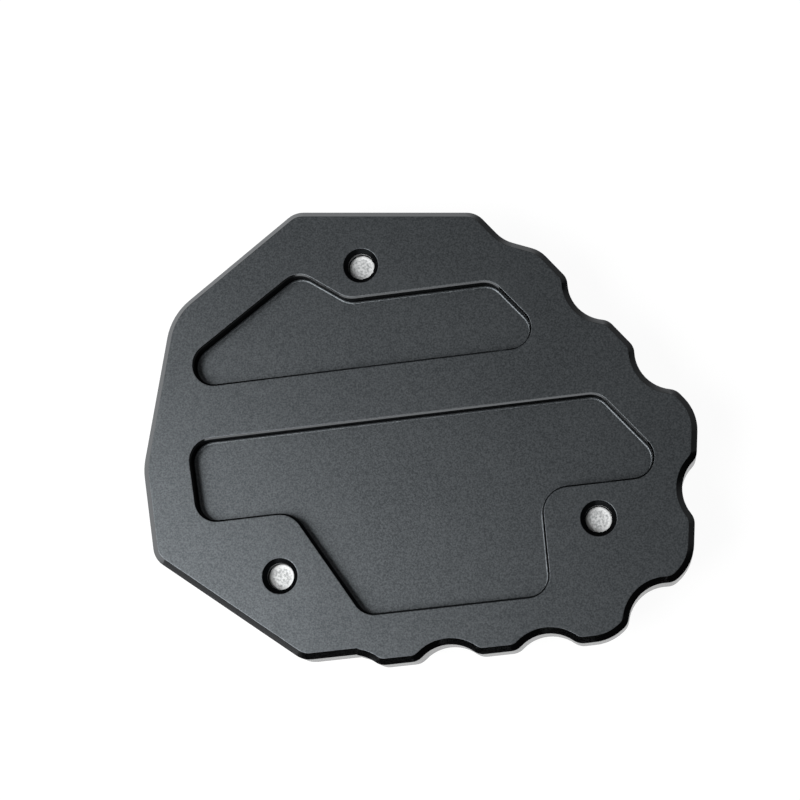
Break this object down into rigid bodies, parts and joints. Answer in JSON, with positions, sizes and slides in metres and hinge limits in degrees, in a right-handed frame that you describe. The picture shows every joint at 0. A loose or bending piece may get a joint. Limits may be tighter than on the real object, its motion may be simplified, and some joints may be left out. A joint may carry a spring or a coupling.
{
  "type": "kickstand foot enlarger",
  "caption": "Scalloped plate that is clamped under a side stand's foot, so that the stand doesn't sink into soft ground.",
  "frame": {"origin": "middle of the part's outline, on the surface that it lies on", "axes": "+X along the length, away from the leg slot's mouth; +Y across it, towards the straight edge opposite the scalloped bottom edge; +Z out of the face that meets the ground in use"},
  "size_m": [0.1052, 0.0873, 0.0175],
  "materials": {
    "black_anodised": "bead-blasted and anodised black, satin",
    "screw_steel": "plain zinc-plated steel"
  },
  "bodies": {
    "root": {"base_plate": "black_anodised", "clamp_plate": "black_anodised", "clamp_screws": "screw_steel"}
  },
  "joints": []
}
